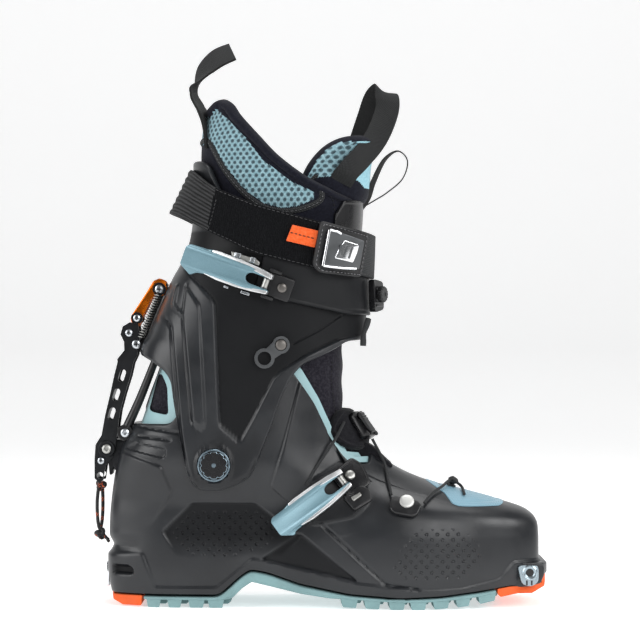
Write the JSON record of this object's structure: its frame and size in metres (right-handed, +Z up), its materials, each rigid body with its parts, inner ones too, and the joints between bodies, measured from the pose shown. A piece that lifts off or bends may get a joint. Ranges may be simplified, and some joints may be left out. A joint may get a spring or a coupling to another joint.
{
  "type": "alpine touring boot",
  "caption": "Hard-shell ski touring boot: lugged sole, pivoting cuff, cam buckles, power strap, inner liner and rear walk lever.",
  "frame": {"origin": "on the ground under the middle of the boot", "axes": "+X towards the toe, +Y towards the medial side, +Z up"},
  "size_m": [0.283, 0.1149, 0.3575],
  "materials": {
    "shell_plastic": "satin moulded",
    "black_plastic": "fine-grained",
    "lever_blue": "anodised satin",
    "aqua_plastic": "satin moulded",
    "sole_rubber": "matt",
    "orange_plastic": "matt",
    "orange_metal": "anodised",
    "steel": "satin",
    "black_steel": "black satin",
    "chrome": "polished",
    "liner_fabric": "knitted lining over foam",
    "webbing": "woven",
    "orange_fabric": "woven",
    "cord_black": "braided"
  },
  "bodies": {
    "root": {"lower_shell": "shell_plastic", "boot_board": "black_plastic", "heel_bracket": "black_plastic", "walk_rod": "black_plastic", "instep_tensioner": "black_plastic", "cable_guide": "black_plastic", "lower_buckle_base": "black_plastic", "pivot_bush_lateral": "black_plastic", "pivot_bush_medial": "black_plastic", "shell_collar": "aqua_plastic", "toe_vamp_panel": "aqua_plastic", "outsole": "sole_rubber", "heel_bumper": "orange_plastic", "toe_bumper": "orange_plastic", "toe_insert_lateral": "steel", "toe_insert_medial": "steel", "heel_insert": "steel", "lower_buckle_pin": "steel", "rod_screw": "steel", "vamp_hook": "black_steel", "liner_foot": "liner_fabric", "liner_ankle": "liner_fabric", "instep_pad": "webbing", "lace_front": "cord_black", "lace_vamp": "cord_black", "lace_rear": "cord_black"},
    "cuff": {"cuff_shell": "shell_plastic", "cuff_band": "shell_plastic", "pivot_ring_lateral": "lever_blue", "pivot_ring_medial": "lever_blue", "upper_buckle_base": "black_steel", "upper_buckle_rivet": "black_steel", "upper_buckle_ladder": "black_steel", "upper_buckle_pin": "steel", "liner_cuff": "liner_fabric", "liner_tongue": "liner_fabric", "tongue_spoiler": "black_plastic", "power_strap": "webbing", "strap_buckle": "black_plastic", "strap_pull_tab": "orange_fabric", "rear_pull_loop": "webbing", "front_pull_loop": "webbing", "tongue_tape_loop": "webbing", "cuff_tensioner": "black_plastic", "tensioner_pull": "webbing", "hook_ring_rivet": "steel", "mechanism_mount": "black_plastic", "link_top_screw": "steel"},
    "upper_lever": {"upper_buckle_lever": "lever_blue"},
    "lower_lever": {"lower_buckle_lever": "lever_blue"},
    "link": {"walk_link": "orange_metal", "walk_spring": "steel"},
    "lever": {"walk_lever": "black_steel", "heel_pin_screw": "steel"},
    "cam": {"strap_cam": "chrome"},
    "knob": {"tensioner_knob": "black_plastic"},
    "ring": {"hook_ring": "black_steel"},
    "tensioner_lever": {"instep_tensioner_lever": "black_plastic"},
    "cord": {"pull_cord": "cord_black", "pull_cord_knot": "cord_black"}
  },
  "joints": [
    {"name": "cuff_flex", "type": "hinge", "parent": "root", "child": "cuff", "pos_m": [-0.0648, 0, 0.0883], "axis": [0, 1, 0], "range_deg": [-8, 24], "deforming": ["liner_ankle"]},
    {"name": "cord_swing", "type": "hinge", "parent": "lever", "child": "cord", "pos_m": [-0.1377, 0, 0.0775], "axis": [0, 1, 0], "range_deg": [-26, 9]},
    {"name": "upper_buckle_open", "type": "hinge", "parent": "cuff", "child": "upper_lever", "pos_m": [-0.03307, -0.05613, 0.19925], "axis": [0.3374, -0.0397, 0.9405], "range_deg": [0, 115]},
    {"name": "lower_buckle_open", "type": "hinge", "parent": "root", "child": "lower_lever", "pos_m": [0.01353, -0.04671, 0.07911], "axis": [-0.5906, 0.1789, 0.7869], "range_deg": [0, 115]},
    {"name": "link_swing", "type": "hinge", "parent": "cuff", "child": "link", "pos_m": [-0.1006, 0, 0.1963], "axis": [0, 1, 0], "range_deg": [0, 35], "deforming": ["walk_spring"]},
    {"name": "walk_lever_swing", "type": "hinge", "parent": "link", "child": "lever", "pos_m": [-0.1194, 0, 0.1689], "axis": [0, 1, 0], "range_deg": [0, 75]},
    {"name": "strap_cam_open", "type": "hinge", "parent": "cuff", "child": "cam", "pos_m": [0.00562, -0.05629, 0.22035], "axis": [-0.1854, 0.0184, -0.9825], "range_deg": [0, 80]},
    {"name": "knob_turn", "type": "hinge", "parent": "cuff", "child": "knob", "pos_m": [0.03212, -0.01355, 0.193], "axis": [0.8988, -0.4384, 0], "continuous": true},
    {"name": "hook_ring_swivel", "type": "hinge", "parent": "cuff", "child": "ring", "pos_m": [-0.02378, -0.047, 0.1618], "axis": [0.0299, -0.9995, -0.0053], "range_deg": [-70, 70]},
    {"name": "instep_lever_open", "type": "hinge", "parent": "root", "child": "tensioner_lever", "pos_m": [0.02458, -0.01068, 0.11821], "axis": [-0.4384, -0.8988, 0], "range_deg": [0, 45]}
  ],
  "couplings": [
    {"joint": "cord_swing", "follows": "cuff_flex", "ratio": -1}
  ]
}
